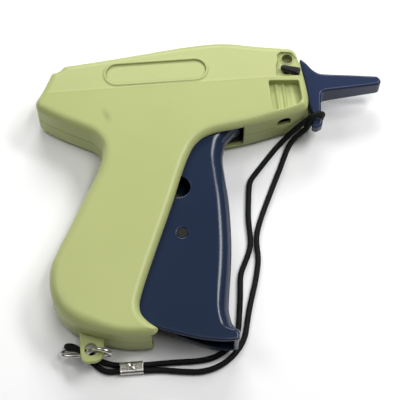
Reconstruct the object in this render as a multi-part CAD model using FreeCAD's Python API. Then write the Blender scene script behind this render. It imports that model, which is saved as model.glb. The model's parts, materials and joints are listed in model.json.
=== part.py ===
import FreeCAD, Part
import math
import os

V = FreeCAD.Vector
os.makedirs("parts", exist_ok=True)

# ---------------------------------------------------------------- dimensions
# Garment tag attacher lying on its left side: +X along the barrel to the
# nose, +Y towards the top of the barrel, +Z out of the right side casing.
ORG_X, ORG_Y = 9.179, 2.483      # drawing point that becomes the origin
THICK = 24.5                   # casing, side to side
ZM = THICK / 2                 # parting plane
WALL = 2.4                     # casing wall
EDGE_R = 3.4                   # outer edge rounding of the casing
CREASE_Y = 56.6                # height of the soft crease along the barrel
SLOPE = 0.055                  # fall of the faces above the crease

TRIG_Z0, TRIG_Z1 = 4.75, 19.75  # trigger width
TRIG_WALL = 2.0
PIVOT = (9.5, 43.0)            # trigger pivot
PULL = 18.0                    # trigger travel, degrees
LEVER_PIVOT = (-20.5, 11.9)    # swing lever pivot
DRIVE_PIN = (-9.6, -19.1)      # pin in the trigger that drives the lever
LEVER_RATIO = 48.0 / PULL      # lever turn / trigger turn
STROKE = 40.0                  # slider stroke over the full pull
AXIS_Y = 55.5                  # needle axis
SLIDER_X = -40.5               # slider pin at rest
LEVER_Z0, LEVER_Z1 = 9.75, 14.75

NEEDLE_R, NEEDLE_BORE = 1.25, 0.90
ROD_R = 0.70
NEEDLE_X0, NEEDLE_X1 = 48.8, 80.0
WHEEL = (34.6, 46.5)           # feed wheel centre
WHEEL_R = 6.4
LUG_HOLE = (-54.1, -68.8)
LUG_T = 2.6
LOCK = (46.9, 60.8)            # needle lock lever pivot

CORD_D = 2.5

# ------------------------------------------------------------------- helpers


def auto_radius(p, c, n, share=0.45):
    a, b = (p - c), (n - c)
    la, lb = a.Length, b.Length
    ang = math.pi - a.getAngle(b)
    if ang < 1e-4:
        return 0.0
    return share * min(la, lb) / math.tan(ang / 2)


def rounded(pts, z=0.0, closed=True):
    """Wire through (x, y[, r]) corners; no r means as round as the runs allow."""
    P = [V(q[0], q[1], z) for q in pts]
    n = len(P)
    ends = []
    for i in range(n):
        p, c, q = P[i - 1], P[i], P[(i + 1) % n]
        rmax = auto_radius(p, c, q, 0.495)
        r = auto_radius(p, c, q) if len(pts[i]) < 3 else min(pts[i][2], rmax)
        a, b = (p - c), (q - c)
        ang = math.pi - a.getAngle(b)
        if r < 1e-3 or ang < 1e-3:
            ends.append((c, c, c))
            continue
        t = r * math.tan(ang / 2)
        s = c + V(a).normalize() * t
        e = c + V(b).normalize() * t
        bis = V(a).normalize() + V(b).normalize()
        d = r / math.cos(ang / 2) - r
        m = c + bis.normalize() * d
        ends.append((s, m, e))
    edges = []
    for i in range(n):
        s, m, e = ends[i]
        if (s - e).Length > 1e-6:
            edges.append(Part.Arc(s, m, e).toShape())
        nx = ends[(i + 1) % n][0]
        if (nx - e).Length > 1e-6:
            edges.append(Part.LineSegment(e, nx).toShape())
    return Part.Wire(edges)


def prism(pts, z0, z1):
    return Part.Face(rounded(pts, z0)).extrude(V(0, 0, z1 - z0))


def box(x0, y0, z0, x1, y1, z1):
    return Part.makeBox(x1 - x0, y1 - y0, z1 - z0, V(x0, y0, z0))


def cyl(x, y, z0, z1, r):
    return Part.makeCylinder(r, z1 - z0, V(x, y, z0))


def xcyl(x0, x1, y, z, r):
    return Part.makeCylinder(r, x1 - x0, V(x0, y, z), V(1, 0, 0))


def stadium(x0, y0, x1, y1, r, z0, z1):
    d = V(x1 - x0, y1 - y0, 0)
    L = d.Length
    a = math.degrees(math.atan2(d.y, d.x))
    s = box(0, -r, z0, L, r, z1).fuse([cyl(0, 0, z0, z1, r), cyl(L, 0, z0, z1, r)])
    s.rotate(V(0, 0, 0), V(0, 0, 1), a)
    s.translate(V(x0, y0, 0))
    return s


def rot(p, c, deg):
    a = math.radians(deg)
    x, y = p[0] - c[0], p[1] - c[1]
    return (c[0] + x * math.cos(a) - y * math.sin(a), c[1] + x * math.sin(a) + y * math.cos(a))


def clean(s):
    s = s.removeSplitter()
    if s.ShapeType == "Compound" and len(s.Solids) == 1:
        s = s.Solids[0]
    return s


def fillet(s, pick, r, label):
    e = [x for x in s.Edges if pick(x)]
    if not e:
        print("no edges for", label)
        return s
    for k in (1.0, 0.8, 0.6, 0.4):
        try:
            f = s.makeFillet(r * k, e)
            if f.isValid() and abs(f.Volume) > 0.5 * abs(s.Volume):
                if k < 1:
                    print(label, "fillet reduced to", r * k)
                return f
        except Exception:
            pass
    print("fillet failed:", label)
    return s


NODES = {}


def put(name, s):
    s = clean(s)
    s.translate(V(-ORG_X, -ORG_Y, 0))
    NODES[name] = s
    bb = s.BoundBox
    print("%-20s solids %d valid %s vol %.1f  x %.2f..%.2f y %.2f..%.2f z %.2f..%.2f" % (
        name, len(s.Solids), s.isValid(), s.Volume, bb.XMin, bb.XMax, bb.YMin, bb.YMax, bb.ZMin, bb.ZMax))


# -------------------------------------------------------------------- casing
OUTLINE = [
    (-64.4, 72.3, 2.5), (-45, 74.1), (-28, 76.0), (-14, 77.7), (-2, 79.1), (8, 79.75), (15, 79.9), (22.5, 79.1),
    (31.5, 77.0), (43.0, 74.9), (52.3, 73.4, 4.5), (54.3, 62.0), (55.5, 50.0), (55.7, 44.5), (54.6, 39.4, 3.2),
    (44.0, 36.6), (36.5, 35.0), (28.0, 33.0), (17.2, 31.4), (8.6, 30.2), (2.6, 27.6), (-1.6, 23.2), (-5.0, 16.4),
    (-8.2, 8.4), (-11.4, -0.6), (-15.6, -11.4), (-20.2, -22.8), (-24.9, -34.6), (-28.9, -45.0), (-31.3, -52.4),
    (-31.2, -57.2), (-28.2, -61.4), (-23.2, -65.3, 1.0), (-25.6, -67.6, 1.2), (-33.4, -67.9), (-41.0, -66.9),
    (-50.0, -64.2), (-59.6, -60.4), (-66.2, -54.6), (-70.0, -46.4), (-70.9, -38.4), (-69.9, -30.6), (-66.5, -23.6),
    (-62.5, -15.8), (-58.4, -8.0), (-54.3, 0.2), (-50.0, 7.6), (-46.2, 15.0), (-44.0, 21.6), (-43.4, 27.6),
    (-46.8, 33.2), (-54.0, 37.4), (-62.0, 41.6), (-69.0, 46.0), (-73.6, 49.4), (-74.2, 53.2), (-71.2, 57.6)]

body = prism(OUTLINE, 0, THICK)
for side in (0, 1):
    w = Part.Face(Part.makePolygon([
        V(-120, CREASE_Y, 0), V(-120, 95, 0), V(-120, 95, (95 - CREASE_Y) * SLOPE), V(-120, CREASE_Y, 0)]))
    w = w.extrude(V(240, 0, 0))
    if side:
        w = w.mirror(V(0, 0, ZM), V(0, 0, 1))
    body = body.cut(w)
body = clean(body)


def rim(e):
    fs = body.ancestorsOfType(e, Part.Face)
    if len(fs) != 2:
        return False
    up = []
    for f in fs:
        u0, u1, v0, v1 = f.ParameterRange
        up.append(abs(f.normalAt((u0 + u1) / 2, (v0 + v1) / 2).z))
    return max(up) > 0.9 and min(up) < 0.5


solid_out = fillet(body, rim, EDGE_R, "casing rim")

NOTCH = [(-80, 90, 0.1), (-59.4, 90, 0.1), (-59.5, 73.2, 0.8), (-61.0, 70.9), (-63.4, 69.5), (-66.0, 69.2, 0.1),
         (-80, 69.2, 0.1)]
solid_out = solid_out.cut(prism(NOTCH, -1, THICK + 1))

inner = Part.Face(rounded(OUTLINE)).makeOffset2D(-WALL)
cav = inner.extrude(V(0, 0, THICK - 2 * WALL))
cav.translate(V(0, 0, WALL))
NOTCH_IN = [(-80, 90, 0.1), (-57.0, 90, 0.1), (-57.0, 72.6, 0.8), (-59.0, 69.2), (-63.0, 67.0), (-66.0, 66.8, 0.1),
            (-80, 66.8, 0.1)]
cav = cav.cut(prism(NOTCH_IN, -1, THICK + 1))
for side in (0, 1):
    w = Part.Face(Part.makePolygon([
        V(-120, CREASE_Y, WALL), V(-120, 95, WALL), V(-120, 95, WALL + (95 - CREASE_Y) * SLOPE),
        V(-120, CREASE_Y, WALL)])).extrude(V(240, 0, 0))
    if side:
        w = w.mirror(V(0, 0, ZM), V(0, 0, 1))
    cav = cav.cut(w)

# the tip of the heel is solid
cav = cav.cut(box(-30.6, -75.0, 0, -20.0, -59.5, THICK))

# bosses that carry pins, kept inside the cavity
P_BOSS_R, L_BOSS_R = 4.2, 4.4
bosses = [cyl(PIVOT[0], PIVOT[1], 0.8, TRIG_Z0 - 0.3, P_BOSS_R), cyl(PIVOT[0], PIVOT[1], TRIG_Z1 + 0.3, THICK - 0.8, P_BOSS_R),
          cyl(LEVER_PIVOT[0], LEVER_PIVOT[1], 0.8, TRIG_Z0 - 0.3, L_BOSS_R),
          cyl(LEVER_PIVOT[0], LEVER_PIVOT[1], LEVER_Z1 + 0.3, THICK - 0.8, L_BOSS_R)]
# slide rails along the barrel, above and below the slider
rails = []
for y0, y1, x1 in ((AXIS_Y - 8.4, AXIS_Y - 5.6, 0.5), (AXIS_Y + 5.6, AXIS_Y + 8.4, 17)):
    rails.append(box(-58, y0, 0.8, x1, y1, 8.0))
    rails.append(box(-58, y0, THICK - 8.0, x1, y1, THICK - 0.8))
# walls of the clip guide and the needle seat
nose = [box(38.2, 34, 0.8, 40.2, 76, 8.4), box(38.2, 34, THICK - 8.4, 40.2, 76, THICK - 0.8),
        box(47.6, 41.0, 0.8, 56, 50.9, ZM), box(47.6, 41.0, ZM, 56, 50.9, THICK - 0.8),
        box(49.0, 61.0, 0.8, 56, 76, ZM), box(49.0, 62.0, ZM, 56, 76, THICK - 0.8),
        box(42.0, 34, 0.8, 45.6, 76, 6.4)]
# six screw bosses
SCREWS = [(-66.5, 55.0), (-35.0, 69.8), (30.0, 66.5), (-43.0, 36.6), (-54.8, -57.4), (28.6, 37.9)]
for x, y in SCREWS:
    bosses.append(cyl(x, y, 0.8, THICK - 0.8, 3.4))
SPRING_A = (-64.6, -30.0)       # rear spring seat
bosses.append(box(-70, -36.5, 7.3, -62.4, -23.5, 17.2))
bosses.append(cyl(WHEEL[0], WHEEL[1], 0.8, 9.6, 3.2))
bosses.append(cyl(WHEEL[0], WHEEL[1], 14.9, THICK - 0.8, 3.2))
# two posts that hold the foot of the feed detent spring
bosses += [box(21.1, 41.6, 0.8, 22.3, 46.4, THICK - 0.8), box(23.0, 41.6, 0.8, 24.2, 46.4, THICK - 0.8)]
# backing behind the recesses in the right side
nose.append(box(36.6, 37.6, 17.6, 55.4, 74.0, THICK - 0.8))
core = solid_out.common(bosses[0].fuse(bosses[1:] + rails + nose))
# the slider and lever path stays open
path = box(-57.0, AXIS_Y - 5.5, 4.9, 17.2, AXIS_Y + 5.5, 19.6)
core = core.cut(path.fuse(box(-60, 40, 8.2, 20, 78, 16.3)))
shell = solid_out.cut(cav).fuse(core)

# mouth between the side walls for the trigger
MOUTH = [(23.6, 40.5, 0.1), (23.6, 20, 0.1), (30, -90, 0.1), (-21.0, -90, 0.1), (-21.0, -69.1, 0.1), (-24.0, -68.2), (-28.0, -66.95),
         (-33.6, -64.9, 1.0), (-40.0, -56),
         (-38.4, -42.5), (-29, -20), (-20.5, 0), (-13.0, 17), (-7.0, 28.5), (2.5, 36.0), (12.0, 38.6), (18.0, 40.5, 0.1)]
open_mouth = shell.cut(prism(MOUTH, TRIG_Z0 - 0.55, TRIG_Z1 + 0.55))
# between the trigger's two side plates the heel stays closed
tongue = solid_out.cut(cav).common(box(-48, -75, 7.3, -27.6, -53.0, 17.2))
shell = open_mouth.fuse(tongue)

# lug at the heel of the handle
lug = prism([(-58.9, -58.0, 0.1), (-58.9, -69.6, 5.3), (-58.4, -74.9, 5.0), (-48.2, -74.9, 5.0), (-48.2, -60.0, 0.1)],
            ZM - LUG_T, ZM)
lug = lug.cut(cav)
lug_hole = cyl(LUG_HOLE[0], LUG_HOLE[1], ZM - 4, ZM, 3.0)

# cuts right through the casing
cuts = [lug_hole,
        box(40.2, 70, ZM - 4.2, 47.4, 85, ZM + 2.6),         # clip entry in the top
        box(48.0, AXIS_Y - 4.3, ZM - 4.3, 60, AXIS_Y + 4.3, ZM + 4.3),   # needle seat
        box(40.2, 39.2, ZM - 4.2, 48.0, 74, ZM + 2.6),
        cyl(PIVOT[0], PIVOT[1], 1.6, THICK - 1.6, 2.03),
        cyl(LEVER_PIVOT[0], LEVER_PIVOT[1], 1.6, THICK - 1.6, 2.03),
        cyl(WHEEL[0], WHEEL[1], 3.0, THICK - 3.0, 1.03)]
right_cuts = [
    stadium(-34.3, 64.45, 2.65, 64.25, 5.45, THICK - 0.9, THICK + 1),       # label recess
    # recess of the needle lock lever
    prism([(41.6, 57.0, 1.0), (46.3, 56.8), (60.0, 56.5, 0.1), (60.0, 63.8, 0.1), (53.5, 64.2, 0.6), (52.4, 66.6, 1.6),
           (50.0, 70.0, 1.8), (45.0, 70.7, 1.0), (43.3, 69.2, 0.8), (43.2, 66.0, 1.0), (42.2, 63.4, 1.0)],
          THICK - 2.3, THICK + 1),
    cyl(47.8, 67.2, THICK - 5.5, THICK, 2.5),
    # finger recess beside the nose
    prism([(37.4, 54.8, 0.8), (51.8, 53.7, 0.8), (52.2, 43.6, 1.6), (50.2, 41.2, 1.6), (44.8, 39.7, 2.0), (38.1, 38.8, 0.8)],
          THICK - 4.4, THICK + 1),
    # spent clip exit below the nose
    box(40.2, 30, ZM, 46.6, 41, 15.6).fuse(Part.makeCylinder(3.2, 11, V(43.4, 30, 15.2), V(0, 1, 0)))]
ribs = []
for xr in (42.0, 47.6):
    c = Part.makeCylinder(2.1, 15.0, V(xr, 39.6, THICK - 5.2), V(0, 1, 0))
    ribs.append(c.common(box(xr - 3, 39.6, THICK - 4.6, xr + 3, 54.6, THICK)))
left_cuts = []
for x, y in SCREWS:
    left_cuts += [cyl(x, y, -1, 4.2, 3.1), cyl(x, y, 0, ZM, 1.65)]
right_cuts += [cyl(x, y, ZM - 0.1, 21.0, 1.45) for x, y in SCREWS]
LOCK_SHAFT_R = 1.8
right_cuts.append(cyl(LOCK[0], LOCK[1], ZM, THICK, LOCK_SHAFT_R + 0.06))
right_cuts.append(cyl(LOCK[0], LOCK[1], ZM, 19.2, 3.5))
right_cuts.append(box(41.0, 54.0, ZM, 49.2, 59.4, 17.4))

left = shell.common(box(-100, -100, -5, 100, 100, ZM)).fuse(lug)
right = shell.common(box(-100, -100, ZM, 100, 100, 60))
left = left.cut(cuts[0].fuse(cuts[1:] + left_cuts))
right = right.cut(cuts[0].fuse(cuts[1:])).cut(right_cuts[0].fuse(right_cuts[1:]))
right = right.fuse([r.common(right_cuts[3]) for r in ribs])


def biggest(s):
    so = sorted(s.Solids, key=lambda q: -q.Volume)
    for q in so[1:]:
        print("   dropped loose piece", round(q.Volume, 2), q.CenterOfMass)
    return so[0]


put("left_casing", biggest(clean(left)))
put("right_casing", biggest(clean(right)))

screws = []
for x, y in SCREWS:
    s = cyl(x, y, 1.8, 4.2, 2.8).fuse([cyl(x, y, 4.2, 18.0, 1.4)])
    s = s.cut(box(x - 0.35, y - 2.0, 1.0, x + 0.35, y + 2.0, 2.9).fuse(box(x - 2.0, y - 0.35, 1.0, x + 2.0, y + 0.35, 2.9)))
    screws.append(clean(s))
put("casing_screws", Part.Compound(screws))

# ------------------------------------------------------------------- trigger
TRIG = [(5.2, 49.4, 5.0), (13.4, 49.0, 5.0), (17.0, 42.4), (22.9, 38.6, 0.0), (22.8, 35.4, 0.0), (18.6, 32.6), (14.4, 28.4), (12.2, 20.0),
        (12.6, 10.0), (13.3, -2.0), (13.1, -13.0), (12.4, -26.0), (10.9, -38.0), (9.2, -48.0), (8.0, -57.0), (9.2, -63.6),
        (12.4, -67.2, 0.0), (11.0, -72.3, 0.0), (5.0, -72.5), (-3.8, -71.0), (-10.2, -69.1), (-16.6, -66.8), (-24.7, -63.6), (-33.6, -58.6, 2.0),
        (-34.6, -49.0), (-32.8, -36.0), (-30.4, -22.0), (-28.0, -8.0), (-28.6, 6.0), (-27.2, 16.5), (-22.0, 21.5), (-10.0, 26.0),
        (-2.0, 34.0), (2.6, 42.0)]
trig = prism(TRIG, TRIG_Z0, TRIG_Z1)


def front_edge(e):
    c = e.CenterOfMass
    if abs(c.z - TRIG_Z0) > 0.01 and abs(c.z - TRIG_Z1) > 0.01:
        return False
    return c.x > 7.0 and -66.0 < c.y < 34


trig = fillet(trig, front_edge, 6.2, "trigger front")


def low_edge(e):
    c = e.CenterOfMass
    if min(abs(c.z - TRIG_Z0), abs(c.z - TRIG_Z1)) > 0.01:
        return False
    return c.y < -64.5


trig = fillet(trig, low_edge, 0.8, "trigger foot")
HOLLOW = [(9.0, 36.0, 0.1), (9.3, 20.0), (9.5, 8.0), (9.9, -8.0), (9.6, -20.0), (7.9, -36.0), (5.9, -48.0), (4.9, -58.0),
          (6.4, -66.0), (9.0, -69.2, 0.5), (8.0, -90, 0.1), (-50, -90, 0.1), (-50, 60, 0.1), (9.0, 60, 0.1)]
trig = trig.cut(prism(HOLLOW, TRIG_Z0 + TRIG_WALL, TRIG_Z1 - TRIG_WALL))
# the plate on the left side ends a little higher
LOW_CUT = [(-40, -52.6, 0.1), (-33.0, -55.0), (-24.0, -59.8), (-16.6, -63.2), (-7.9, -67.2), (-2.5, -69.7), (3.0, -71.6), (9.1, -73.4, 0.1),
           (9.1, -90, 0.1), (-40, -90, 0.1)]
trig = trig.cut(prism(LOW_CUT, 0, ZM))
SLOT_R, SLOT_R_LOW = 5.2, 2.45     # round the boss on the right side, round the bare pin on the left
rad = math.hypot(LEVER_PIVOT[0] - PIVOT[0], LEVER_PIVOT[1] - PIVOT[1])
a0 = math.degrees(math.atan2(LEVER_PIVOT[1] - PIVOT[1], LEVER_PIVOT[0] - PIVOT[0]))
wedge = Part.Face(Part.makePolygon([V(PIVOT[0], PIVOT[1], 0)] + [
    V(PIVOT[0] + 80 * math.cos(math.radians(a0 + t)), PIVOT[1] + 80 * math.sin(math.radians(a0 + t)), 0)
    for t in (0, PULL / 2, PULL)] + [V(PIVOT[0], PIVOT[1], 0)])).extrude(V(0, 0, THICK))
e1 = rot(LEVER_PIVOT, PIVOT, PULL)


def arc_slot(r, z0, z1):
    band = cyl(PIVOT[0], PIVOT[1], z0, z1, rad + r).cut(cyl(PIVOT[0], PIVOT[1], z0, z1, rad - r))
    return band.common(wedge).fuse([cyl(LEVER_PIVOT[0], LEVER_PIVOT[1], z0, z1, r), cyl(e1[0], e1[1], z0, z1, r)])


trig = trig.cut(arc_slot(SLOT_R, ZM, THICK)).cut(arc_slot(SLOT_R_LOW, 0, ZM))
trig = trig.cut(cyl(PIVOT[0], PIVOT[1], 0, THICK, 2.05))
# ears keep the trigger centred on its pin
trig = trig.cut(cyl(DRIVE_PIN[0], DRIVE_PIN[1], 0, THICK, 1.5))
trig = trig.cut(cyl(DRIVE_PIN[0], DRIVE_PIN[1], TRIG_Z1 - 0.7, THICK, 2.5))
# spring seat: a cross wall between the side plates, with a spigot
SPRING_Y = -30.0
SPRING_Z = ZM
seat = box(-26.0, SPRING_Y - 7, TRIG_Z0 + TRIG_WALL - 0.2, -24.0, SPRING_Y + 7, TRIG_Z1 - TRIG_WALL + 0.2)
seat = seat.fuse(xcyl(-29.0, -25.0, SPRING_Y, SPRING_Z, 2.6))
trig = trig.fuse(seat)
put("trigger", biggest(clean(trig)))
put("trigger_pin", cyl(PIVOT[0], PIVOT[1], 1.9, THICK - 1.9, 2.0))
put("drive_pin", cyl(DRIVE_PIN[0], DRIVE_PIN[1], TRIG_Z0 + 0.4, TRIG_Z1 - 0.7, 1.5).fuse(
    cyl(DRIVE_PIN[0], DRIVE_PIN[1], TRIG_Z1 - 0.7, TRIG_Z1 - 0.15, 2.35)))

# --------------------------------------------------------------- swing lever


def in_lever(p, theta):
    """Point p of the pulled state put back into the lever at rest."""
    return rot(p, LEVER_PIVOT, theta * LEVER_RATIO)


N = 14
low_path, high_path = [], []
for i in range(N + 1):
    th = PULL * i / N
    low_path.append(in_lever(rot(DRIVE_PIN, PIVOT, -th), th))
    high_path.append(in_lever((SLIDER_X + STROKE * i / N, AXIS_Y), th))


def swept(path, r, z0, z1):
    parts = []
    for i in range(len(path) - 1):
        parts.append(stadium(path[i][0], path[i][1], path[i + 1][0], path[i + 1][1], r, z0, z1))
    return parts[0].fuse(parts[1:]).removeSplitter()


low_slot = swept(low_path, 1.5 + 0.06, LEVER_Z0 - 1, LEVER_Z1 + 1)
high_slot = swept(high_path, 1.75 + 0.06, LEVER_Z0 - 1, LEVER_Z1 + 1)
lp = LEVER_PIVOT
far = max(high_path, key=lambda p: math.hypot(p[0] - lp[0], p[1] - lp[1]))
near = min(high_path, key=lambda p: math.hypot(p[0] - lp[0], p[1] - lp[1]))
ua = math.atan2(AXIS_Y - lp[1], SLIDER_X - lp[0])
up = (math.cos(ua), math.sin(ua))
sd = (-up[1], up[0])


def arm(s, w, d=0.0):
    return (lp[0] + up[0] * s + sd[0] * w, lp[1] + up[1] * s + sd[1] * w)


L1 = math.hypot(far[0] - lp[0], far[1] - lp[1])
lev = prism([arm(0, 5.4) + (4.0,), arm(30, 4.6) + (4.0,), arm(L1 + 4.4, 4.4) + (4.2,), arm(L1 + 4.4, -4.4) + (4.2,), arm(30, -4.6) + (4.0,),
             arm(0, -5.4) + (4.0,)], LEVER_Z0, LEVER_Z1)
mid = ((low_path[0][0] + low_path[-1][0]) / 2, (low_path[0][1] + low_path[-1][1]) / 2)
lev = lev.fuse([cyl(lp[0], lp[1], LEVER_Z0, LEVER_Z1, 6.0)] + [
    stadium(low_path[0][0], low_path[0][1], low_path[-1][0], low_path[-1][1], 4.4, LEVER_Z0, LEVER_Z1),
    stadium(lp[0], lp[1], low_path[-1][0], low_path[-1][1], 4.4, LEVER_Z0, LEVER_Z1)])
lev = lev.cut(low_slot.fuse([high_slot, cyl(lp[0], lp[1], 0, THICK, 2.05)]))
put("swing_lever", biggest(clean(lev)))
put("lever_pin", cyl(lp[0], lp[1], 1.9, THICK - 1.9, 2.0))

# -------------------------------------------------------------------- slider
SX = SLIDER_X
slider = box(SX - 11.6, AXIS_Y - 5.2, 5.2, SX + 12.4, AXIS_Y + 5.2, 19.3)
slider = slider.cut(box(SX - 9.0, AXIS_Y - 9, LEVER_Z0 - 0.4, SX + 9.2, AXIS_Y + 9, LEVER_Z1 + 0.4))
slider = fillet(slider, lambda e: abs(e.CenterOfMass.x - (SX + 12.4)) < 0.01, 1.0, "slider front")
slider = slider.cut(cyl(SX, AXIS_Y, 0, THICK, 1.75)).cut(xcyl(SX + 9.0, SX + 13, AXIS_Y, ZM, ROD_R))
put("slider", slider)
put("slider_pin", cyl(SX, AXIS_Y, 5.4, 19.1, 1.75))
ROD_TIP = 39.4
rod = xcyl(SX + 9.3, ROD_TIP, AXIS_Y, ZM, ROD_R)
put("push_rod", rod)

# ---------------------------------------------------------------- feed wheel
teeth = 10
pts = []
for i in range(teeth):
    t = 360.0 / teeth * i
    for da, r in ((0, WHEEL_R), (3, WHEEL_R), (9, WHEEL_R - 1.7), (30, WHEEL_R - 1.9)):
        a = math.radians(t + da)
        pts.append(V(WHEEL[0] + r * math.cos(a), WHEEL[1] + r * math.sin(a), 10.4))
wheel = Part.Face(Part.makePolygon(pts + [pts[0]])).extrude(V(0, 0, 3.7))
wheel = wheel.fuse(cyl(WHEEL[0], WHEEL[1], 10.0, 14.5, 2.4)).cut(cyl(WHEEL[0], WHEEL[1], 0, THICK, 1.05))
put("feed_wheel", wheel)
put("feed_wheel_axle", cyl(WHEEL[0], WHEEL[1], 3.4, THICK - 3.4, 1.0))
# detent spring: a leaf whose bent tip rests just clear of the teeth
leaf = box(22.4, 50.6, 10.6, 29.2, 51.1, 13.9).fuse([box(22.4, 42.5, 10.6, 22.9, 51.1, 13.9)])
tip = Part.Face(Part.makePolygon([V(27.8, 51.1, 10.6), V(27.8, 50.6, 10.6), V(28.4, 49.5, 10.6), V(29.2, 50.6, 10.6),
                                  V(29.2, 51.1, 10.6), V(27.8, 51.1, 10.6)])).extrude(V(0, 0, 3.3))
leaf = leaf.fuse(tip)
put("feed_detent_spring", leaf)

# -------------------------------------------------------------------- needle
base = box(48.3, AXIS_Y - 4.0, ZM - 4.0, 57.6, AXIS_Y + 4.0, ZM + 4.0)
base = fillet(base, lambda e: abs(e.CenterOfMass.x - 57.6) < 0.01, 1.0, "needle base nose")
tab = box(41.5, 54.6, ZM + 2.9, 48.6, 59.0, ZM + 4.9).cut(cyl(LOCK[0], LOCK[1], 0, THICK, 3.5))
base = base.fuse(tab).cut(xcyl(48, 60, AXIS_Y, ZM, NEEDLE_R))
put("needle_base", base)
needle = xcyl(NEEDLE_X0, NEEDLE_X1, AXIS_Y, ZM, NEEDLE_R).cut(xcyl(NEEDLE_X0 - 1, NEEDLE_X1 + 1, AXIS_Y, ZM, NEEDLE_BORE))
needle = needle.cut(box(NEEDLE_X0 - 1, AXIS_Y - 0.3, ZM - 3, NEEDLE_X1 + 1, AXIS_Y + 0.3, ZM))
wedge = Part.Face(Part.makePolygon([V(NEEDLE_X1 - 5.0, 0, ZM + 3), V(NEEDLE_X1 + 1, 0, ZM + 3), V(NEEDLE_X1 + 1, 0, ZM - 1.6),
                                    V(NEEDLE_X1 - 5.0, 0, ZM + 3)])).extrude(V(0, 100, 0))
needle = needle.cut(wedge)
put("needle", biggest(clean(needle)))
blade = box(47.72, 52.0, ZM - 4.0, 48.22, 59.0, ZM - 1.5)
put("cutter_blade", blade)

# ---------------------------------------------------------------- lock lever
lx, ly = LOCK
LEV_A = math.radians(-13.0)


def onlev(s, w):
    return (lx + s * math.cos(LEV_A) - w * math.sin(LEV_A), ly + s * math.sin(LEV_A) + w * math.cos(LEV_A))


lock = prism([onlev(-2.7, 1.2) + (1.1,), onlev(6.7, 1.9) + (1.2,), onlev(6.7, -1.9) + (1.2,), onlev(-2.7, -1.2) + (1.1,)],
             THICK - 2.1, THICK + 0.7)
lock = fillet(lock, lambda e: abs(e.CenterOfMass.z - THICK - 0.7) < 0.01, 0.7, "lock lever top")
lock = lock.fuse([cyl(lx, ly, 16.5, THICK - 2.0, LOCK_SHAFT_R), box(lx - 1.1, ly - 3.0, 16.5, lx + 1.1, ly, 17.3)])
put("lock_lever", lock)

# ---------------------------------------------------------------- needle cap
CAP_Z0, CAP_Z1 = 6.75, 17.75
CAP = [(54.4, 70.7, 0.5), (57.6, 67.4), (60.0, 63.4), (63.0, 60.9), (68.0, 60.2), (80.0, 59.0), (91.4, 57.6, 2.2), (92.9, 54.9), (91.6, 52.5, 2.0),
       (78.0, 52.1), (63.0, 51.6, 1.8), (62.2, 45.5), (61.6, 41.0), (61.2, 39.0, 3.0), (61.3, 35.4, 1.5), (60.6, 33.4, 1.2), (58.4, 32.0, 1.2),
       (56.5, 33.2, 1.0), (57.0, 36.0, 1.0), (57.5, 39.2, 3.0), (56.4, 43.2), (56.1, 49.0), (55.6, 58.0)]
cap = prism(CAP, CAP_Z0, CAP_Z1)
for side in (0, 1):
    w = Part.Face(Part.makePolygon([V(64, 0, CAP_Z0 - 3), V(95, 0, CAP_Z0 - 3), V(95, 0, CAP_Z0 + 1.1), V(64, 0, CAP_Z0),
                                    V(64, 0, CAP_Z0 - 3)])).extrude(V(0, 100, 0))
    if side:
        w = w.mirror(V(0, 0, ZM), V(0, 0, 1))
    cap = cap.cut(w)
# the leg is narrower than the nose
cap = cap.cut(box(50, 20, 0, 70, 42.2, 9.4)).cut(box(50, 20, 15.1, 70, 42.2, 30))
cap = clean(cap)
cap = fillet(cap, lambda e: e.CenterOfMass.x > 64.5 and (e.CenterOfMass.z > 15.2 or e.CenterOfMass.z < 9.3) and e.Length > 3, 1.1, "cap nose")
cap = cap.cut(box(50, AXIS_Y - 4.35, ZM - 4.35, 58.2, AXIS_Y + 4.35, ZM + 4.35)).cut(xcyl(58, 84.0, AXIS_Y, ZM, 2.3))
put("needle_cap", biggest(clean(cap)))

# ------------------------------------------------------------- return spring


def helix_spring(x0, x1, y, z, r, wire, turns):
    h = Part.makeHelix((x1 - x0) / turns, x1 - x0, r)
    prof = Part.Wire(Part.makeCircle(wire / 2, V(r, 0, 0), V(0, 1, 0)))
    s = Part.Wire(h.Edges).makePipeShell([prof], True, True)
    s.rotate(V(0, 0, 0), V(0, 1, 0), 90)
    s.translate(V(x0, y, z))
    return s


spring = helix_spring(-61.6, -26.8, SPRING_Y, SPRING_Z, 3.9, 1.1, 9)
put("return_spring", spring)

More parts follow.
